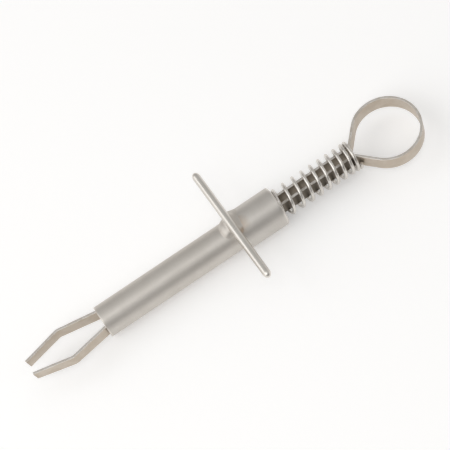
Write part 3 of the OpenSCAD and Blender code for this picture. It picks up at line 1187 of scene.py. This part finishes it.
# ---- Floor, light and camera ----
FLOOR_DROP = 0.00001
FLOOR_LIFT = 0.215
WORLD_STEPS = (
    (0.0, (0.80, 0.77, 0.745)),
    (0.16, (0.66, 0.645, 0.63)),
    (0.45, (0.42, 0.415, 0.41)),
    (0.68, (0.50, 0.497, 0.49)),
    (1.0, (0.66, 0.66, 0.655)),
)
LAMPS = (
    ("overhead_lamp", (-0.17, -0.22, 0.59), "X", (0.5, 0.4), "key_power"),
    ("window", (-0.56, 0.06, 0.42), "Y", (1.1, 0.56), "window_power"),
)
LAMP_AIM = Vector((0.024, 0.0, 0.0))
CAMERA_AIM = Vector((28.6, 2.1, 1.12)) * MM


def make_floor(half, tint):
    level = -COLLAR_HIGH.z - FLOOR_DROP
    corners = [(x * half, y * half, level) for x, y in ((-1, -1), (1, -1), (1, 1), (-1, 1))]
    floor = new_piece("floor", corners, [(0, 1, 2, 3)])
    material = bpy.data.materials.new("pale_floor")
    w = empty_tree(material)
    matt = w.get("BSDF", "ShaderNodeBsdfDiffuse", {"Color": (*tint, 1.0)})
    ray = w.add("ShaderNodeLightPath").outputs
    seen = w.plus(ray["Is Camera Ray"], ray["Is Glossy Ray"])
    seen = w.plus(seen, ray["Is Transmission Ray"], clamp=True)
    lift = w.get("Emission", "ShaderNodeEmission", {"Strength": w.times(seen, FLOOR_LIFT)})
    both = w.get("Shader", "ShaderNodeAddShader", {0: matt, 1: lift})
    w.add("ShaderNodeOutputMaterial", {"Surface": both})
    floor.data.materials.append(material)


def make_world(scene):
    """A pale studio: bright at the horizon and behind the ring, darker where the camera stands."""
    scene.world = bpy.data.worlds.new("studio")
    w = empty_tree(scene.world)
    way = w.parts(w.get("Generated", "ShaderNodeTexCoord"))
    ramp = w.add("ShaderNodeValToRGB", {"Fac": way["Z"]})
    elements = ramp.color_ramp.elements
    while len(elements) < len(WORLD_STEPS):
        elements.new(0.5)
    for element, (place, shade) in zip(elements, WORLD_STEPS):
        element.position = place
        element.color = (*shade, 1.0)
    camera_side = w.smooth(way["Y"], -0.85, -0.2, 0.62, 1.0)
    ring_side = w.smooth(way["X"], 0.45, 0.95, 1.0, 1.35)
    inputs = {"Color": ramp.outputs["Color"], "Strength": w.times(camera_side, ring_side)}
    light = w.get("Background", "ShaderNodeBackground", inputs)
    w.add("ShaderNodeOutputWorld", {"Surface": light})


def make_lamps(scene, stage):
    """A soft lamp overhead and a long window beyond the jaws."""
    for name, place, upright, size, power in LAMPS:
        data = bpy.data.lights.new(name, "AREA")
        data.shape = "RECTANGLE"
        data.size, data.size_y = size
        data.energy = getattr(stage, power)
        lamp = bpy.data.objects.new(name, data)
        scene.collection.objects.link(lamp)
        lamp.location = LAMP_AIM + Vector(place)
        lamp.rotation_euler = Vector(place).to_track_quat("Z", upright).to_euler()


def make_camera(scene, stage):
    """The camera: looking down from the -Y side, with the tool rising to the right."""
    across, up = math.cos(stage.towards_jaws), stage.elevation
    back = Vector((-math.sin(stage.towards_jaws), -across * math.cos(up), across * math.sin(up)))
    tool = Vector((1, 0, 0))
    tool = (tool - tool.dot(back) * back).normalized()
    over = back.cross(tool)
    right = math.cos(stage.roll) * tool - math.sin(stage.roll) * over
    above = math.sin(stage.roll) * tool + math.cos(stage.roll) * over
    data = bpy.data.cameras.new("camera")
    data.lens = stage.lens
    data.sensor_width = 36.0
    data.clip_start, data.clip_end = 0.01, 20.0
    camera = bpy.data.objects.new("camera", data)
    scene.collection.objects.link(camera)
    turn = Matrix((right, above, back)).transposed().to_4x4()
    camera.matrix_world = Matrix.Translation(CAMERA_AIM + stage.distance * back) @ turn
    scene.camera = camera


class GRIPPER_OT_stage(Operator):
    """Set up the pale floor, the soft studio light and the camera"""

    bl_idname = "gripper.stage"
    bl_label = "Stage"

    def execute(self, context):
        stage = settings(context, "stage")
        make_floor(stage.floor_size / 2, settings(context, "finish").floor)
        make_world(context.scene)
        make_lamps(context.scene, stage)
        make_camera(context.scene, stage)
        context.scene.view_settings.view_transform = "Standard"
        return {"FINISHED"}


# ---- The sidebar ----
OPERATORS = (
    GRIPPER_OT_barrel,
    GRIPPER_OT_collar,
    GRIPPER_OT_bar,
    GRIPPER_OT_braze,
    GRIPPER_OT_spring,
    GRIPPER_OT_ring,
    GRIPPER_OT_jaws,
    GRIPPER_OT_stage,
)


class GRIPPER_PT_sidebar(Panel):
    bl_label = "Finger Gripper"
    bl_idname = "GRIPPER_PT_sidebar"
    bl_space_type = "VIEW_3D"
    bl_region_type = "UI"
    bl_category = "Finger Gripper"

    def draw(self, context):
        for operator in OPERATORS:
            self.layout.operator(operator.bl_idname, text=operator.bl_label)
        for key, group in SETTINGS.items():
            box = self.layout.box()
            box.label(text=group.__name__)
            for prop in group.__annotations__:
                box.prop(getattr(context.scene, key), prop)


CLASSES = (*SETTINGS.values(), *OPERATORS, GRIPPER_PT_sidebar)


def register():
    for cls in CLASSES:
        bpy.utils.register_class(cls)
    for key, group in SETTINGS.items():
        setattr(bpy.types.Scene, key, PointerProperty(type=group))


def unregister():
    for key in SETTINGS:
        delattr(bpy.types.Scene, key)
    for cls in reversed(CLASSES):
        bpy.utils.unregister_class(cls)


def main():
    register()
    for operator in OPERATORS:
        _, name = operator.bl_idname.split(".")
        getattr(bpy.ops.gripper, name)()


if __name__ == "__main__":
    main()
